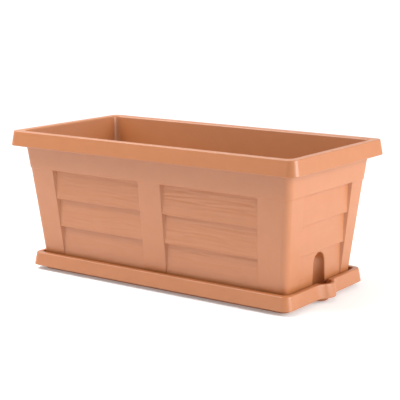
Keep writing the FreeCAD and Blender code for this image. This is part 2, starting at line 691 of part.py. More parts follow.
def write_part(part):
    """Check one sub-part's shape and write it."""
    shape = part.Shape
    if shape.isNull() or not shape.isValid():
        raise RuntimeError(f"{part.Label} has no valid shape")
    shape.exportStep(os.path.join("parts", f"{part.Label}.step"))
    box = shape.BoundBox
    print(
        f"{part.Label}: {len(shape.Solids)} solid, {shape.Volume / 1000:.1f} cm3, "
        f"x {box.XMin:.1f} to {box.XMax:.1f}, y {box.YMin:.1f} to {box.YMax:.1f}, "
        f"z {box.ZMin:.1f} to {box.ZMax:.1f}"
    )


DOC = FreeCAD.newDocument("self_watering_planter")
SHEET = make_sheet(DOC)

parts = [make_reservoir_tray(), make_planter_box(), make_separator_grid()]
for cup_number, (cup_x, cup_y) in enumerate(cup_places(), start=1):
    parts.append(make_wick_cup(f"wick_cup_{cup_number}", cup_x, cup_y))

DOC.recompute()
check_document()
os.makedirs("parts", exist_ok=True)
for part in parts:
    write_part(part)
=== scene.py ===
import math

import bmesh
import bpy
import numpy as np
from mathutils import Matrix, Vector, noise


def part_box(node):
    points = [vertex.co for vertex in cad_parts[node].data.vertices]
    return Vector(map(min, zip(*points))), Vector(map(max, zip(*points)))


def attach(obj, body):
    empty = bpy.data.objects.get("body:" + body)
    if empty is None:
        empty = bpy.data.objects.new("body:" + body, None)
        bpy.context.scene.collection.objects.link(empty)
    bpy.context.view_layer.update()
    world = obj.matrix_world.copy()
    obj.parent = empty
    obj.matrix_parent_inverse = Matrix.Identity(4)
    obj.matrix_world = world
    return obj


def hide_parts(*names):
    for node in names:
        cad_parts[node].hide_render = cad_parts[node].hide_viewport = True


# Looks of the self-watering planter. The two shells are rebuilt as fine meshes inside the CAD
# boxes; the false floor and the wick cups keep their CAD shape. Metres, +Z up, front is -Y.

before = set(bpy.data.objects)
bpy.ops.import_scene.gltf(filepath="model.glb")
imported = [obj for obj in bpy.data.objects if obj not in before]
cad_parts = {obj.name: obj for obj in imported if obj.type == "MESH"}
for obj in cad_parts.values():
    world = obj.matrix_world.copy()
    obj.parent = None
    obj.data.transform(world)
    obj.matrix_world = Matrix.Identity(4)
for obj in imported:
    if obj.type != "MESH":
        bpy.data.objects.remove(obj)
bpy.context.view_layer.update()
BOX_LOW, BOX_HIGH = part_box("planter_box")
TRAY_LOW, TRAY_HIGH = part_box("reservoir_tray")
_, GRID_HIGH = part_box("separator_grid")

MM = 0.001
WALL = 2.5 * MM

# Soil box: the rim, the walls and the lapped boards.
RIM_TOP = BOX_HIGH[2]
RIM_DROP = 26.7 * MM
RIM_BASE = RIM_TOP - RIM_DROP
RIM_FLARE = 4.7 * MM
RIM_HALF = (BOX_HIGH[0] - RIM_FLARE, BOX_HIGH[1] - RIM_FLARE)
RIM_RADIUS = 13.0 * MM
BOX_BASE = BOX_LOW[2]
BOX_FLOOR = BOX_BASE + WALL
BOX_HALF = (RIM_HALF[0] - 15.2 * MM, RIM_HALF[1] - 15.3 * MM)
BOX_RADIUS = 12.5 * MM
END_LEAN = 0.094
SIDE_LEAN = 0.114
BAND_STEP = 1.4 * MM
BOARDS = 3
BOARD_TOP = 190.6 * MM
BOARD_PITCH = 52.2 * MM
BOARD_DEPTH = 6.8 * MM
BOARD_DRAFT = 0.36
STILE_HALF = 24.0 * MM
SIDE_REACH = 220.0 * MM
SIDE_SLOPE = 0.0577
END_REACH = 80.0 * MM
END_SLOPE = 0.05
MOUTH_EDGE = 3.2 * MM

# Arched recess above the spout, shelves and passages in the floor of the box.
ARCH_PLACE = 262.8 * MM
ARCH_FOOT_RADIUS = 21.3 * MM
ARCH_RADIUS = 18.2 * MM
ARCH_SPRING = 62.9 * MM
ARCH_LIP = 1.8 * MM
SHARP_LIP = 0.0001 * MM
SHELF_PLACE = 224.0 * MM
SHELF_TOP = GRID_HIGH[2] - WALL
SHELF_GAP = 0.2 * MM
SHELF_POCKET = (30.0 * MM, 98.0 * MM, 255.0 * MM)
CUP_SPREAD = 125.0 * MM
CUP_OFFSET = 48.0 * MM
CUP_PASSAGE_RADIUS = 28.5 * MM

# Tray: the skirt, the flange, the pan and the filling spout.
TRAY_TOP = TRAY_HIGH[2]
TRAY_SHIFT = 1.5 * MM
SKIRT_BASE = 8.4 * MM
SKIRT_HALF = (TRAY_SHIFT - TRAY_LOW[0], TRAY_HIGH[1])
SKIRT_DRAW = 4.0 * MM
SKIRT_RADIUS = 15.0 * MM
FLANGE = 8.0 * MM
PAN_HALF = (264.2 * MM, 111.15 * MM)
PAN_RADIUS = 12.0 * MM
PAN_FLARE = SKIRT_HALF[0] - SKIRT_DRAW - FLANGE + WALL - PAN_HALF[0]
WELL_PLACE = 264.5 * MM
WELL_RADIUS = 19.0 * MM
WELL_FOOT_RADIUS = 11.5 * MM
WELL_SPAN = 18.0 * MM  # half of the stretch that the skirt's rings divide as finely as the well
SPOUT_REACH = 292.8 * MM
SPOUT_RADIUS = 24.0 * MM
SPOUT_HALF = 38.0 * MM
BOSS_RADIUS = 12.0 * MM
BOSS_SPREAD = 195.0 * MM
BOSS_OFFSET = 80.0 * MM

# How finely the meshes are cut.
CORNER_STEPS = 10
WELL_STEPS = 12
SPOUT_STEPS = 12
GRAIN_ALONG = 3.6 * MM
GRAIN_ACROSS = 1.15 * MM
GRAIN_HEIGHT = 0.30 * MM
# How strong the grain is on each side's panels; only the long sides have two.
GRAIN_SHARE = (0.6, 1.1, 0.4, 0.4, 1.0, 1.0, 0.4, 0.4)
GRAIN_MARGIN = 4.0 * MM

# A moulded edge, as (distance across, depth): round at its lip, and round at its root.
EDGE_ACROSS = np.array([0.0, -1.2, -0.6, -0.16, 0.0, 0.4, 0.6, 1.2]) * MM
EDGE_LIP = (0.0, 0.16 * MM, 0.6 * MM, 1.2 * MM)
EDGE_ROOT = (0.8 * MM, 0.23 * MM)
EDGE_IS_ROOT = np.array([0, 0, 0, 0, 0, 1, 1, 1])

# Rounding of the step where the boards meet the plain band above: how far up in millimetres,
# the share of the step, and which depth of the lip.
BAND_LIP = ((0.0, 0.35, 3), (0.3, 0.65, 2), (0.8, 0.9, 1))
BAND_LIP_TOP = 1.4 * MM
FULL_DEPTH = len(EDGE_ACROSS) - 1
FLUSH = (0.0, 0.0)

# Camera, at the viewing angle of the reference.
CAMERA_AZIMUTH = 35.54
CAMERA_ELEVATION = 11.09
CAMERA_DISTANCE = 2.1178
CAMERA_TARGET = Vector((15.7, 0.0, 142.7)) * MM
CAMERA_LENS = 106.4
CAMERA_SHIFT = 0.0009

# The four sides of the box, anticlockwise: the direction along each, and outwards.
SIDES = (
    ((1.0, 0.0), (0.0, -1.0)),
    ((0.0, 1.0), (1.0, 0.0)),
    ((-1.0, 0.0), (0.0, 1.0)),
    ((0.0, -1.0), (-1.0, 0.0)),
)
SPOUT_SIDE = 1


# ---- meshes ---------------------------------------------------------------------------


def new_object(name, mesh):
    """Link a mesh to the scene as an object."""
    piece = bpy.data.objects.new(name, mesh)
    bpy.context.scene.collection.objects.link(piece)
    return piece


def mesh_from_rings(name, rings, capped):
    """Skin a stack of closed rings; capped closes both ends, otherwise the last meets the first."""
    count = len(rings[0])
    points = np.concatenate(rings)
    faces = []
    rows = len(rings) - 1 if capped else len(rings)
    for row in range(rows):
        low = row * count
        high = ((row + 1) % len(rings)) * count
        for i in range(count):
            j = (i + 1) % count
            faces.append((low + i, low + j, high + j, high + i))
    if capped:
        faces.append(tuple(reversed(range(count))))
        faces.append(tuple(range((len(rings) - 1) * count, len(rings) * count)))
    mesh = bpy.data.meshes.new(name)
    mesh.from_pydata(points.tolist(), [], faces)
    mesh.validate()
    fix_normals(mesh)
    return mesh


def fix_normals(mesh):
    """Merge coincident points and turn every face outwards."""
    work = bmesh.new()
    work.from_mesh(mesh)
    bmesh.ops.remove_doubles(work, verts=work.verts, dist=0.002 * MM)
    bmesh.ops.recalc_face_normals(work, faces=work.faces)
    work.to_mesh(mesh)
    work.free()


def smooth(piece, angle=32.0):
    """Shade a piece smooth, except across edges sharper than an angle in degrees."""
    mesh = piece.data
    mesh.shade_smooth()
    mesh.set_sharp_from_angle(angle=math.radians(angle))
    weigh = piece.modifiers.new("weigh_normals", "WEIGHTED_NORMAL")
    weigh.keep_sharp = True


def combine(piece, other, operation):
    """Cut another mesh out of a piece, or join it on, and throw the other away."""
    cut = piece.modifiers.new("combine", "BOOLEAN")
    cut.operation = operation
    cut.solver = "EXACT"
    cut.object = other
    depsgraph = bpy.context.evaluated_depsgraph_get()
    result = bpy.data.meshes.new_from_object(piece.evaluated_get(depsgraph))
    piece.modifiers.remove(cut)
    piece.data = result
    bpy.data.objects.remove(other)


def prism(name, outline, low, high, top_outline=None):
    """A closed block over an outline of (x, y) points; its top may have another outline."""
    ends = ((outline, low), (top_outline or outline, high))
    rings = [np.array([(x, y, z) for x, y in points]) for points, z in ends]
    return new_object(name, mesh_from_rings(name, rings, capped=True))


def circle(x, y, radius, steps=48):
    """Points of a circle."""
    angles = [2 * math.pi * step / steps for step in range(steps)]
    return [(x + radius * math.cos(a), y + radius * math.sin(a)) for a in angles]


# ---- rings round the box ---------------------------------------------------------------


def ring(half, radius, level, stations):
    """One closed ring: a rounded rectangle, with given stations along each of its sides.

    Returns the points, the inward direction at each, the side it lies on (or -1 in a corner)
    and its distance along that side.
    """
    points = []
    inward = []
    sides = []
    along_side = []
    for number, (along, out) in enumerate(SIDES):
        reach = half[0] if out[0] else half[1]
        straight = (half[0] if along[0] else half[1]) - radius
        for place in stations[number]:
            points.append((
                along[0] * place + out[0] * reach, along[1] * place + out[1] * reach, level
            ))
            inward.append((-out[0], -out[1], 0.0))
            sides.append(number)
            along_side.append(place)
        centre = [along[k] * straight + out[k] * (reach - radius) for k in (0, 1)]
        for step in range(CORNER_STEPS + 1):
            turn = math.pi / 2 * step / CORNER_STEPS
            way = [out[k] * math.cos(turn) + along[k] * math.sin(turn) for k in (0, 1)]
            points.append((centre[0] + radius * way[0], centre[1] + radius * way[1], level))
            inward.append((-way[0], -way[1], 0.0))
            sides.append(-1)
            along_side.append(0.0)
    return np.array(points), np.array(inward), np.array(sides), np.array(along_side)


def spread(start, end, count):
    """Evenly spaced places after start and before end."""
    return [start + (end - start) * step / (count + 1) for step in range(1, count + 1)]


def mirrored(half_places, half_kinds):
    """Both halves of a side, from the places and kinds of one half that starts past the middle."""
    places = [-p for p in reversed(half_places)] + list(half_places)
    kinds = list(reversed(half_kinds)) + list(half_kinds)
    return places, kinds


def drafted_edge(depth):
    """Places across a moulded edge whose flank runs out over this depth."""
    return EDGE_ACROSS[1:] + BOARD_DRAFT * depth * EDGE_IS_ROOT[1:]


def long_side(level, straight, margin, depth=0.0):
    """Places and kinds of edge along a long side: stile, panel, stile."""
    near = STILE_HALF - margin
    far = SIDE_REACH - SIDE_SLOPE * (BOARD_TOP - level) + margin
    edge = drafted_edge(depth)
    inside = round((SIDE_REACH - STILE_HALF) / GRAIN_ALONG)
    places = spread(0.0, near + edge[0], 2)
    kinds = [0, 0]
    places += [near + e for e in edge]
    kinds += range(1, FULL_DEPTH + 1)
    places += spread(near + edge[-1], far - edge[-1], inside)
    kinds += [FULL_DEPTH] * inside
    places += [far - e for e in reversed(edge)]
    kinds += range(FULL_DEPTH, 0, -1)
    places += spread(far - edge[0], straight, 2)
    kinds += [0, 0]
    return mirrored(places, kinds)


def short_side(level, straight, margin, depth=0.0):
    """Places and kinds of edge along an end: one panel between two stiles."""
    far = END_REACH - END_SLOPE * (BOARD_TOP - level) + margin
    edge = drafted_edge(depth)
    inside = round(END_REACH / GRAIN_ALONG)
    first = 0.5 * GRAIN_ALONG
    places = [first] + spread(first, far - edge[-1], inside)
    kinds = [FULL_DEPTH] * (inside + 1)
    places += [far - e for e in reversed(edge)]
    kinds += range(FULL_DEPTH, 0, -1)
    places += spread(far - edge[0], straight, 2)
    kinds += [0, 0]
    return mirrored(places, kinds)


def edge_depths(depth):
    """How deep each kind of place lies where the panel is this deep."""
    lip = [min(lip, depth) for lip in EDGE_LIP]
    root = [max(lip[-1], depth - root) for root in EDGE_ROOT]
    return np.array([0.0] + lip + root + [depth])


def wall_half(level, margin):
    """Half length and width of the box over its stiles at a level, drawn in by a margin."""
    leans = (END_LEAN, SIDE_LEAN)
    return tuple(
        half - BAND_STEP - lean * (RIM_BASE - level) - margin
        for half, lean in zip(BOX_HALF, leans)
    )


def wall_ring(level, step, depths, margin):
    """One ring of the panelled wall.

    step is how proud it stands, and depths how deep the panels of a long side and an end are.
    """
    half = tuple(h + step for h in wall_half(level, margin))
    radius = BOX_RADIUS - margin + step
    long_places, long_kinds = long_side(level, half[0] - radius, margin, depths[0])
    short_places, short_kinds = short_side(level, half[1] - radius, margin, depths[1])
    points, inward, sides, along = ring(
        half, radius, level, (long_places, short_places, long_places, short_places)
    )
    kinds = np.zeros(len(points), dtype=int)
    for number in range(4):
        here = sides == number
        kinds[here] = (long_kinds, short_kinds)[number % 2]
        sunk = edge_depths(depths[number % 2])[kinds[here]]
        points[here] += inward[here] * sunk[:, None]
    return points, inward, sides, along, kinds


def board_levels(margin, pitch):
    """Levels of the wall from its foot to the top of the panels, with how deep the panels are.

    Each entry is (level, depths on a long side and on an end, number of the board).
    """
    levels = []
    for board in reversed(range(BOARDS)):
        top = BOARD_TOP - board * BOARD_PITCH + margin
        bottom = top - BOARD_PITCH
        is_lowest = board == BOARDS - 1
        start = BOX_BASE + 0.6 * MM if is_lowest else bottom + 1.2 * MM
        end = top - 1.1 * MM

        def depth_at(level):
            drop = top - margin - level
            return np.maximum(0.0, BOARD_DEPTH - np.array([SIDE_LEAN, END_LEAN]) * drop)

        if not is_lowest:
            lip = depth_at(bottom)
            for rise, more in zip((0.0, 0.2, 0.6), reversed(EDGE_LIP[1:])):
                levels.append((bottom + rise * MM, lip + more, board))
        levels.append((start, depth_at(start), board))
        count = max(3, round((end - start) / pitch))
        levels += [(z, depth_at(z), board) for z in spread(start, end, count)]
        levels.append((end, depth_at(end), board))
        levels.append((top - 0.5 * MM, depth_at(top) - EDGE_ROOT[1], board))
        levels.append((top - 0.2 * MM, depth_at(top) - EDGE_ROOT[0], board))
    return levels


def grain(along, level, seed):
    """Relief of the moulded wood grain at a place on a board, from about -1 to 1."""
    drift = 0.004 * noise.noise(Vector((along * 9.0, level * 12.0, seed)))
    line = noise.noise(Vector((along * 13.0, (level + drift) * 230.0, seed + 5.3)))
    band = noise.noise(Vector((along * 4.0, (level + drift) * 75.0, seed + 9.1)))
    crack = 1.0 - abs(noise.noise(Vector((along * 7.0, (level + drift) * 120.0, seed + 2.7))))
    return 0.8 * line + 0.5 * band - 0.9 * max(0.0, crack - 0.86) / 0.14


def carve_grain(rings, boards):
    """Press the wood grain into the boards of the outer wall."""
    for (points, inward, sides, along, kinds), (level, board) in zip(rings, boards):
        top = BOARD_TOP - board * BOARD_PITCH
        bottom = max(BOX_BASE, top - BOARD_PITCH)
        fade_level = min(1.0, (top - level) / GRAIN_MARGIN, (level - bottom) / GRAIN_MARGIN)
        if fade_level <= 0:
            continue
        for i in np.nonzero(kinds == FULL_DEPTH)[0]:
            side = sides[i]
            place = along[i]
            if side % 2 == 0:
                far = SIDE_REACH - SIDE_SLOPE * (BOARD_TOP - level)
                gap = min(far - abs(place), abs(place) - STILE_HALF)
            else:
                far = END_REACH - END_SLOPE * (BOARD_TOP - level)
                gap = far - abs(place)
            fade = max(0.0, min(1.0, gap / GRAIN_MARGIN)) * fade_level
            panel = 2 * side + (place > 0 if side % 2 == 0 else 0)
            seed = 3.1 * board + 11.7 * panel
            height = GRAIN_HEIGHT * GRAIN_SHARE[panel] * fade
            points[i] -= inward[i] * (height * grain(place, level, seed))


# ---- the soil box ---------------------------------------------------------------------


def rim_ring(offset, level):
    """A ring of the rim, grown by an offset from the outline of its top edge."""
    half = (RIM_HALF[0] + offset, RIM_HALF[1] + offset)
    radius = RIM_RADIUS + offset
    straight = (half[0] - radius, half[1] - radius)
    long_places, _ = long_side(level, straight[0], 0.0)
    short_places, _ = short_side(level, straight[1], 0.0)
    return ring(half, radius, level, (long_places, short_places, long_places, short_places))[0]


def band_offset(level):
    """How far the outer face of the rim band stands past the rim's top edge at a level."""
    return RIM_FLARE * (RIM_TOP - level) / RIM_DROP


def rounded(centre, radius, start, end, steps=5):
    """Points (offset, level) of a round edge between two angles in degrees."""
    angles = [math.radians(start + (end - start) * k / steps) for k in range(steps + 1)]
    return [(centre[0] + radius * math.cos(a), centre[1] + radius * math.sin(a)) for a in angles]


def rim_profile():
    """Section of the rim, from under the lip, round the band and over to the mouth."""
    under = RIM_TOP - WALL
    edge = 1.2 * MM
    top_edge = 1.5 * MM
    root = 1.5 * MM
    inner_top = band_offset(under) - WALL
    inner_base = band_offset(RIM_BASE) - WALL
    profile = rounded((inner_top - root, under - root), root, 90, 0)
    profile += [(inner_base, RIM_BASE + edge)]
    profile += rounded((inner_base + edge, RIM_BASE + edge), edge, 180, 270)[1:]
    profile += rounded((RIM_FLARE - edge, RIM_BASE + edge), edge, 270, 360)
    profile += rounded((band_offset(RIM_TOP - top_edge) - top_edge, RIM_TOP - top_edge),
                       top_edge, 0, 90)
    return profile


def band_lip_rings(level, margin, steps):
    """Rings that round the step between the boards and the plain band."""
    rings = []
    for rise, share, depth in steps:
        lip = (EDGE_LIP[depth], EDGE_LIP[depth])
        rings.append(wall_ring(level + rise * MM, share * BAND_STEP, lip, margin)[0])
    return rings


def shell_rings():
    """All rings of the soil box's wall, from its outer foot over the rim to its inner foot."""
    outer = []
    outer_boards = []
    rings = [wall_ring(BOX_BASE, -0.5 * MM, board_levels(0.0, GRAIN_ACROSS)[0][1], 0.0)[0]]
    for level, depth, board in board_levels(0.0, GRAIN_ACROSS):
        near_top = level > BOARD_TOP - 0.6 * MM
        outer.append(wall_ring(level, 0.15 * BAND_STEP if near_top else 0.0, depth, 0.0))
        outer_boards.append((level, board))
    carve_grain(outer, outer_boards)
    rings += [entry[0] for entry in outer]
    rings += band_lip_rings(BOARD_TOP, 0.0, BAND_LIP)
    rings.append(wall_ring(BOARD_TOP + BAND_LIP_TOP, BAND_STEP, FLUSH, 0.0)[0])
    under = RIM_TOP - WALL
    for level in spread(BOARD_TOP + BAND_LIP_TOP, under - 1.5 * MM, 4) + [under - 1.5 * MM]:
        rings.append(wall_ring(level, BAND_STEP, FLUSH, 0.0)[0])
    rings.append(wall_ring(under - 0.4 * MM, BAND_STEP + 0.4 * MM, FLUSH, 0.0)[0])
    rings.append(wall_ring(under, BAND_STEP + 1.5 * MM, FLUSH, 0.0)[0])
    rings += [rim_ring(offset, level) for offset, level in rim_profile()]

    for grow, level in rounded((MOUTH_EDGE, RIM_TOP - MOUTH_EDGE), MOUTH_EDGE, 90, 180, 7):
        rings.append(wall_ring(level, BAND_STEP + grow, FLUSH, WALL)[0])
    top = BOARD_TOP + WALL
    shoulder = top + BAND_LIP_TOP
    for level in spread(RIM_TOP - MOUTH_EDGE, shoulder, 4) + [shoulder]:
        rings.append(wall_ring(level, BAND_STEP, FLUSH, WALL)[0])
    rings += band_lip_rings(top, WALL, reversed(BAND_LIP))
    for level, depth, board in reversed(board_levels(WALL, 12 * MM)):
        rings.append(wall_ring(level, 0.0, depth, WALL)[0])
    return rings


def arch_loops(grow, lip):
    """Loops of the arched recess, from outside the wall to its deepest line.

    grow makes it larger all over; lip rounds the edge where it meets the board.
    """
    face = wall_half(BOARD_TOP - 2 * BOARD_PITCH, 0.0)[0] - BOARD_DEPTH
    depths = [-30 * MM, -0.01 * MM] if lip else [2.0 * MM]
    if lip:
        depths += [lip * (1 - math.cos(math.radians(a))) for a in (15, 30, 45, 60, 75, 90)]
    start = depths[-1]
    reach = face - (ARCH_PLACE - ARCH_RADIUS - grow)
    depths += [start + (reach - start) * math.sin(math.radians(a)) for a in range(6, 91, 6)]
    loops = []
    for depth in depths:
        widen = lip - math.sqrt(max(0.0, lip ** 2 - (lip - max(0.0, depth)) ** 2)) if lip else 0.0
        if depth >= lip:
            widen = 0.0
        level_in = max(0.0, ARCH_PLACE - face + max(0.0, depth))
        loops.append(arch_loop(face - depth, level_in, grow, widen))
    return loops


def arch_loop(x, inset, grow, widen):
    """One upright section of the recess, at a distance inset from its axis."""
    points = []
    foot = BOX_BASE - 2 * MM
    steps = 12
    flank = []
    for k in range(7):
        level = foot + (ARCH_SPRING - foot) * k / 6
        radius = ARCH_FOOT_RADIUS + (ARCH_RADIUS - ARCH_FOOT_RADIUS) * (level - BOX_BASE) / (
            ARCH_SPRING - BOX_BASE
        )
        radius += grow
        half = math.sqrt(max(0.0, radius ** 2 - inset ** 2)) + widen
        flank.append((half, level))
    dome = math.sqrt(max(0.0, (ARCH_RADIUS + grow) ** 2 - inset ** 2)) + widen
    points += [(x, half, level) for half, level in flank]
    for k in range(1, steps):
        turn = math.pi * k / steps
        points.append((x, dome * math.cos(turn), ARCH_SPRING + dome * math.sin(turn)))
    points += [(x, -half, level) for half, level in reversed(flank)]
    return np.array(points)


def arch_block(name, grow, lip):
    """The solid of the arched recess, to cut out or to join on."""
    return new_object(name, mesh_from_rings(name, arch_loops(grow, lip), capped=True))


def floor_outline(level, grow, low_x=-1.0, high_x=1.0):
    """Outline of the hollow of the box at a level, cut off at two places along X."""
    half = tuple(h + grow for h in wall_half(level, WALL))
    radius = BOX_RADIUS - WALL
    straight = (half[0] - radius, half[1] - radius)
    stations = ([-straight[0] / 2, straight[0] / 2], [0.0]) * 2
    points = ring(half, radius, level, stations)[0]
    inside = [(min(max(x, low_x), high_x), y) for x, y, _ in points]
    return inside


def make_box_floor():
    """The floor of the box, with its passages, and the hollow steps that carry the false floor."""
    tuck = 1.0 * MM
    clear = 0.05 * MM
    floor = prism("planter_box_floor", floor_outline(BOX_BASE, tuck), BOX_BASE + clear, BOX_FLOOR)
    for x in (-CUP_SPREAD, CUP_SPREAD):
        for y in (-CUP_OFFSET, CUP_OFFSET):
            outline = circle(x, y, CUP_PASSAGE_RADIUS)
            combine(floor, prism("passage", outline, 0.0, SHELF_TOP), "DIFFERENCE")
    for end in (-1, 1):
        limits = (-1.0, -SHELF_PLACE) if end < 0 else (SHELF_PLACE, 1.0)
        outline = floor_outline(BOX_BASE, tuck, *limits)
        top_outline = floor_outline(SHELF_TOP, -SHELF_GAP, *limits)
        step = prism("shelf", outline, BOX_BASE + clear, SHELF_TOP, top_outline)
        combine(floor, step, "UNION")
        near, far, reach = SHELF_POCKET
        for side in (-1, 1):
            start = end * (SHELF_PLACE + WALL)
            outline = [
                (start, side * near), (end * reach, side * near),
                (end * reach, side * far), (start, side * far),
            ]
            combine(floor, prism("pocket", outline, 0.0, SHELF_TOP - WALL), "DIFFERENCE")
    combine(floor, arch_block("arch_cut", tuck, SHARP_LIP), "DIFFERENCE")
    soften(floor, 0.6 * MM)
    return floor


def soften(piece, width, angle=40.0):
    """Round a piece's sharp edges a little."""
    bevel = piece.modifiers.new("round_edges", "BEVEL")
    bevel.width = width
    bevel.segments = 2
    bevel.limit_method = "ANGLE"
    bevel.angle_limit = math.radians(angle)
    bevel.use_clamp_overlap = True
    smooth(piece, angle)


def make_planter_box():
    """The wall and the rim of the soil box."""
    name = "planter_box_shell"
    shell = new_object(name, mesh_from_rings(name, shell_rings(), False))
    combine(shell, arch_block("arch_backing", WALL, 0.0), "UNION")
    combine(shell, arch_block("arch_hollow", 0.0, ARCH_LIP), "DIFFERENCE")
    smooth(shell)
    return shell


# ---- the tray -------------------------------------------------------------------------


def spout_bulge(place, skirt_x, reach, margin):
    """How far the spout stands out of the skirt at a distance from the middle of the end."""
    nose = SPOUT_RADIUS - margin
    centre = reach - SPOUT_RADIUS
    line = skirt_x - margin
    inset = line - centre
    blend = (inset ** 2 + SPOUT_HALF ** 2 - nose ** 2) / (2 * (nose - inset))
    tangent = nose * SPOUT_HALF / (nose + blend)
    place = abs(place)
    if place < tangent:
        return centre + math.sqrt(nose ** 2 - place ** 2) - line
    if place < SPOUT_HALF:
        return blend - math.sqrt(blend ** 2 - (SPOUT_HALF - place) ** 2)
    return 0.0


def tray_ring(half, radius, level, well_radius=None, spout=None):
    """A ring of the tray. At the spout it follows the well, or the nose of the spout."""
    straight = (half[0] - radius, half[1] - radius)
    long_places = [-straight[0]] + spread(-straight[0], straight[0], 11)
    parts = [k / WELL_STEPS for k in range(WELL_STEPS + 1)]
    if well_radius:
        opening = math.acos((half[0] - WELL_PLACE) / well_radius)
        round_part = [well_radius * math.sin(opening * part) for part in parts]
    else:
        round_part = [WELL_SPAN * part for part in parts]
    outer_part = spread(round_part[-1], SPOUT_HALF, SPOUT_STEPS) + [SPOUT_HALF]
    half_places = round_part[1:] + outer_part + spread(SPOUT_HALF, straight[1], 3)
    end_places = [-p for p in reversed(half_places)] + [0.0] + half_places
    points, _, sides, along = ring(
        half, radius, level, (long_places, end_places, long_places, end_places)
    )
    for i in np.nonzero(sides == SPOUT_SIDE)[0]:
        place = along[i]
        if well_radius and abs(place) <= round_part[-1]:
            reach = WELL_PLACE + math.sqrt(max(0.0, well_radius ** 2 - place ** 2))
            points[i][0] = max(points[i][0], reach)
        if spout:
            points[i][0] += spout_bulge(place, *spout)
    return points


def skirt_ring(level, margin, shrink=0.0):
    """A ring of the skirt, drawn in by a margin; shrink also pulls in its outline."""
    drawn = SKIRT_DRAW * (level - SKIRT_BASE) / (TRAY_TOP - SKIRT_BASE) + shrink
    half = (SKIRT_HALF[0] - drawn - margin, SKIRT_HALF[1] - drawn - margin)
    radius = SKIRT_RADIUS - margin - drawn / 2
    spout = (SKIRT_HALF[0] - drawn, SPOUT_REACH - drawn, margin)
    return tray_ring(half, radius, level, spout=spout)


def pan_ring(level, margin, shrink=0.0):
    """A ring of the pan; margin is the wall for its inside, and shrink pulls in its outline."""
    flare = PAN_FLARE * level / TRAY_TOP
    half = (PAN_HALF[0] + flare - margin - shrink, PAN_HALF[1] + flare - margin - shrink)
    rise = (level - WALL) / (TRAY_TOP - WALL)
    well = WELL_FOOT_RADIUS + (WELL_RADIUS - WELL_FOOT_RADIUS) * rise + WALL - margin - shrink
    return tray_ring(half, PAN_RADIUS - margin - shrink, level, well_radius=well)


def make_tray():
    """The tray, skinned in one go from under its pan, over the skirt, to the floor of the pan."""
    deck = TRAY_TOP - WALL
    rings = []
    for shrink, level in rounded((1.6 * MM, 1.6 * MM), 1.6 * MM, 270, 180):
        rings.append(pan_ring(level, 0.0, shrink))
    rings += [pan_ring(level, 0.0) for level in spread(2 * MM, deck - 1.2 * MM, 3)]
    for shrink, level in rounded((-1.2 * MM, deck - 1.2 * MM), 1.2 * MM, 0, 90, 3):
        rings.append(pan_ring(level, 0.0, shrink))
    rings += [skirt_ring(level, WALL, s) for s, level in ((1.0 * MM, deck), (0.0, deck - 1.0 * MM))]
    rings.append(skirt_ring(SKIRT_BASE + 1.0 * MM, WALL))
    for shrink, level in rounded((2.0 * MM, SKIRT_BASE + 1.0 * MM), 1.0 * MM, 0, -90, 3):
        rings.append(skirt_ring(level, 0.0, shrink))
    for shrink, level in rounded((1.0 * MM, SKIRT_BASE + 1.0 * MM), 1.0 * MM, 270, 180, 3):
        rings.append(skirt_ring(level, 0.0, shrink))
    rings += [skirt_ring(level, 0.0) for level in spread(SKIRT_BASE, TRAY_TOP - 1.9 * MM, 2)]
    for shrink, level in rounded((1.9 * MM, TRAY_TOP - 1.9 * MM), 1.9 * MM, 180, 90):
        rings.append(skirt_ring(level, 0.0, shrink))
    for shrink, level in rounded((-1.3 * MM, TRAY_TOP - 1.3 * MM), 1.3 * MM, 90, 0, 4):
        rings.append(pan_ring(level, WALL, shrink))
    rings += [pan_ring(level, WALL) for level in spread(TRAY_TOP - 1.3 * MM, WALL + 2 * MM, 3)]
    for shrink, level in rounded((2.0 * MM, WALL + 2.0 * MM), 2.0 * MM, 180, 270):
        rings.append(pan_ring(level, WALL, shrink))
    tray = new_object("reservoir_tray_shell", mesh_from_rings("reservoir_tray_shell", rings, True))
    tray.data.transform(Matrix.Translation((TRAY_SHIFT, 0.0, 0.0)))
    smooth(tray)
    return tray


def make_bosses():
    """The six bosses on the floor of the tray that carry the box."""
    work = bmesh.new()
    crown = 1.0 * MM
    profile = [(BOSS_RADIUS + 0.6 * MM, WALL - 0.5 * MM), (BOSS_RADIUS, WALL + 1.0 * MM)]
    profile += rounded((BOSS_RADIUS - crown, BOX_BASE - crown), crown, 0, 90, 3)
    mesh = bpy.data.meshes.new("reservoir_bosses")
    for column in (-1, 0, 1):
        for side in (-1, 1):
            rings = [
                np.array([(x, y, level) for x, y in circle(
                    column * BOSS_SPREAD, side * BOSS_OFFSET, radius, 32)])
                for radius, level in profile
            ]
            boss = mesh_from_rings("boss", rings, capped=True)
            work.from_mesh(boss)
            bpy.data.meshes.remove(boss)
    work.to_mesh(mesh)
    work.free()
    mesh.transform(Matrix.Translation((TRAY_SHIFT, 0.0, 0.0)))
    bosses = new_object("reservoir_bosses", mesh)
    smooth(bosses)
    return bosses


# ---- materials ------------------------------------------------------------------------


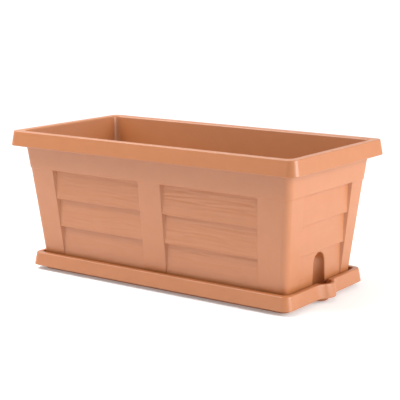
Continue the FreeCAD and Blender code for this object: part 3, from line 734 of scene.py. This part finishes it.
class Nodes:
    """A short way to add and join the nodes of one material."""

    def __init__(self, name):
        self.material = bpy.data.materials.new(name)
        self.material.use_nodes = True
        self.tree = self.material.node_tree
        self.shader = self.tree.nodes["Principled BSDF"]

    def add(self, kind, inputs=None, **settings):
        """Add a node; inputs are constants or sockets, settings are its own properties."""
        node = self.tree.nodes.new(kind)
        for key, setting in settings.items():
            setattr(node, key, setting)
        for key, source in (inputs or {}).items():
            self.join(source, node.inputs[key])
        return node

    def join(self, source, socket):
        """Feed a socket from another socket, or set it to a constant."""
        if isinstance(source, bpy.types.NodeSocket):
            self.tree.links.new(source, socket)
        else:
            socket.default_value = source

    def ramp(self, source, stops):
        """A colour ramp through (position, colour) stops."""
        node = self.add("ShaderNodeValToRGB", {"Fac": source})
        elements = node.color_ramp.elements
        for number, (position, colour) in enumerate(stops):
            element = elements[number] if number < 2 else elements.new(position)
            element.position = position
            element.color = (*colour, 1.0)
        return node.outputs["Color"]

    def noise(self, vector, scale, detail=3.0, roughness=0.5):
        """Fractal noise."""
        node = self.add(
            "ShaderNodeTexNoise",
            {"Vector": vector, "Scale": scale, "Detail": detail, "Roughness": roughness},
        )
        return node.outputs["Fac"]

    def stretched(self, vector, factors):
        """Coordinates scaled by a factor along each axis."""
        node = self.add("ShaderNodeMapping", {"Vector": vector, "Scale": factors})
        return node.outputs["Vector"]

    def map_range(self, source, low, high):
        """Map 0..1 to low..high."""
        node = self.add(
            "ShaderNodeMapRange", {"Value": source, "To Min": low, "To Max": high}
        )
        return node.outputs["Result"]

    def bump(self, height, distance, strength, normal=None):
        """A bump from a height; an earlier bump's normal can be carried on."""
        inputs = {"Height": height, "Distance": distance, "Strength": strength}
        if normal:
            inputs["Normal"] = normal
        return self.add("ShaderNodeBump", inputs).outputs["Normal"]


def moulded_plastic(name, dark, mid, light, gloss):
    """Injection-moulded plastic: slightly mottled colour, a fine skin and faint flow marks."""
    nodes = Nodes(name)
    place = nodes.add("ShaderNodeTexCoord").outputs["Object"]
    mottle = nodes.noise(place, 38.0, 4.0, 0.55)
    colour = nodes.ramp(mottle, [(0.32, dark), (0.52, mid), (0.72, light)])
    nodes.join(colour, nodes.shader.inputs["Base Color"])
    skin = nodes.noise(place, 1600.0, 2.0)
    flow = nodes.noise(nodes.stretched(place, (30.0, 30.0, 240.0)), 1.0, 3.0)
    normal = nodes.bump(skin, 0.00012, 0.35)
    normal = nodes.bump(flow, 0.00025, 0.25, normal)
    nodes.join(normal, nodes.shader.inputs["Normal"])
    rough = nodes.map_range(nodes.noise(place, 45.0, 3.0), gloss - 0.05, gloss + 0.07)
    nodes.join(rough, nodes.shader.inputs["Roughness"])
    nodes.shader.inputs["Specular IOR Level"].default_value = 0.9
    return nodes.material


def use_material(piece, material):
    """Give a piece one material."""
    piece.data.materials.clear()
    piece.data.materials.append(material)


# ---- stage ----------------------------------------------------------------------------


def make_floor():
    """A plain pale floor that curves up behind the object."""
    reach = 6.0
    rise = 2.5
    bend = 1.2
    profile = [(-reach, 0.0), (2.0, 0.0)]
    for k in range(1, 13):
        turn = math.pi / 2 * k / 12
        profile.append((2.0 + bend * math.sin(turn), bend * (1 - math.cos(turn))))
    profile.append((2.0 + bend, rise))
    turn = Matrix.Rotation(math.radians(CAMERA_AZIMUTH), 3, "Z")
    points = []
    for x in (-reach, reach):
        points += [turn @ Vector((x, y, z)) for y, z in profile]
    count = len(profile)
    faces = [(i, i + count, i + count + 1, i + 1) for i in range(count - 1)]
    mesh = bpy.data.meshes.new("floor")
    mesh.from_pydata(points, [], faces)
    mesh.shade_smooth()
    floor = new_object("floor", mesh)
    nodes = Nodes("pale_floor")
    nodes.shader.inputs["Base Color"].default_value = (0.93, 0.93, 0.93, 1.0)
    nodes.shader.inputs["Roughness"].default_value = 0.9
    nodes.shader.inputs["Emission Color"].default_value = (1.0, 1.0, 1.0, 1.0)
    nodes.shader.inputs["Emission Strength"].default_value = 0.2
    use_material(floor, nodes.material)


def add_area_light(name, azimuth, elevation, distance, size, power, colour=(1.0, 1.0, 1.0)):
    """A soft square light aimed at the object; azimuth 0 is in front, 90 at the +X end."""
    light = bpy.data.lights.new(name, "AREA")
    light.size = size
    light.energy = power
    light.color = colour
    lamp = bpy.data.objects.new(name, light)
    bpy.context.scene.collection.objects.link(lamp)
    lamp.matrix_world = look_from(azimuth, elevation, distance, Vector((0.0, 0.0, 0.12)))


def look_from(azimuth, elevation, distance, target):
    """A camera or light matrix that looks at a target from an azimuth and an elevation."""
    a = math.radians(azimuth)
    e = math.radians(elevation)
    away = Vector((math.sin(a) * math.cos(e), -math.cos(a) * math.cos(e), math.sin(e)))
    turn = (-away).to_track_quat("-Z", "Y").to_matrix().to_4x4()
    return Matrix.Translation(target + away * distance) @ turn


def make_camera():
    """The camera at the viewing angle of the reference."""
    data = bpy.data.cameras.new("camera")
    data.lens = CAMERA_LENS
    data.sensor_width = 36.0
    data.shift_x = CAMERA_SHIFT
    camera = bpy.data.objects.new("camera", data)
    bpy.context.scene.collection.objects.link(camera)
    camera.matrix_world = look_from(
        CAMERA_AZIMUTH, CAMERA_ELEVATION, CAMERA_DISTANCE, CAMERA_TARGET
    )
    bpy.context.scene.camera = camera


def make_lights():
    """Soft studio light: the key from the +X end, two weaker ones from above the front left."""
    add_area_light("key", 104.0, 20.0, 2.8, 1.5, 70.0)
    add_area_light("fill", -74.0, 40.0, 1.5, 1.0, 9.0)
    add_area_light("top", -46.0, 60.0, 1.9, 1.3, 32.0)
    world = bpy.data.worlds.new("studio")
    bpy.context.scene.world = world
    world.use_nodes = True
    background = world.node_tree.nodes["Background"]
    background.inputs["Color"].default_value = (1.0, 1.0, 1.0, 1.0)
    background.inputs["Strength"].default_value = 0.47
    bpy.context.scene.view_settings.view_transform = "Standard"


# ---- put it together -------------------------------------------------------------------

make_camera()
make_floor()
make_lights()

terracotta = moulded_plastic(
    "terracotta_plastic", (0.440, 0.151, 0.046), (0.450, 0.156, 0.049), (0.460, 0.161, 0.052), 0.40
)
dark = moulded_plastic(
    "dark_plastic", (0.022, 0.022, 0.023), (0.030, 0.030, 0.031), (0.040, 0.040, 0.041), 0.5
)

shell = make_planter_box()
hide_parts("planter_box")
floor_piece = make_box_floor()
tray = make_tray()
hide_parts("reservoir_tray")
bosses = make_bosses()
for piece, body in ((shell, "box"), (floor_piece, "box"), (tray, "tray"), (bosses, "tray")):
    use_material(piece, terracotta)
    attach(piece, body)

for name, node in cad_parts.items():
    if name.startswith("wick_cup") or name == "separator_grid":
        use_material(node, dark)
        soften(node, 0.35 * MM)
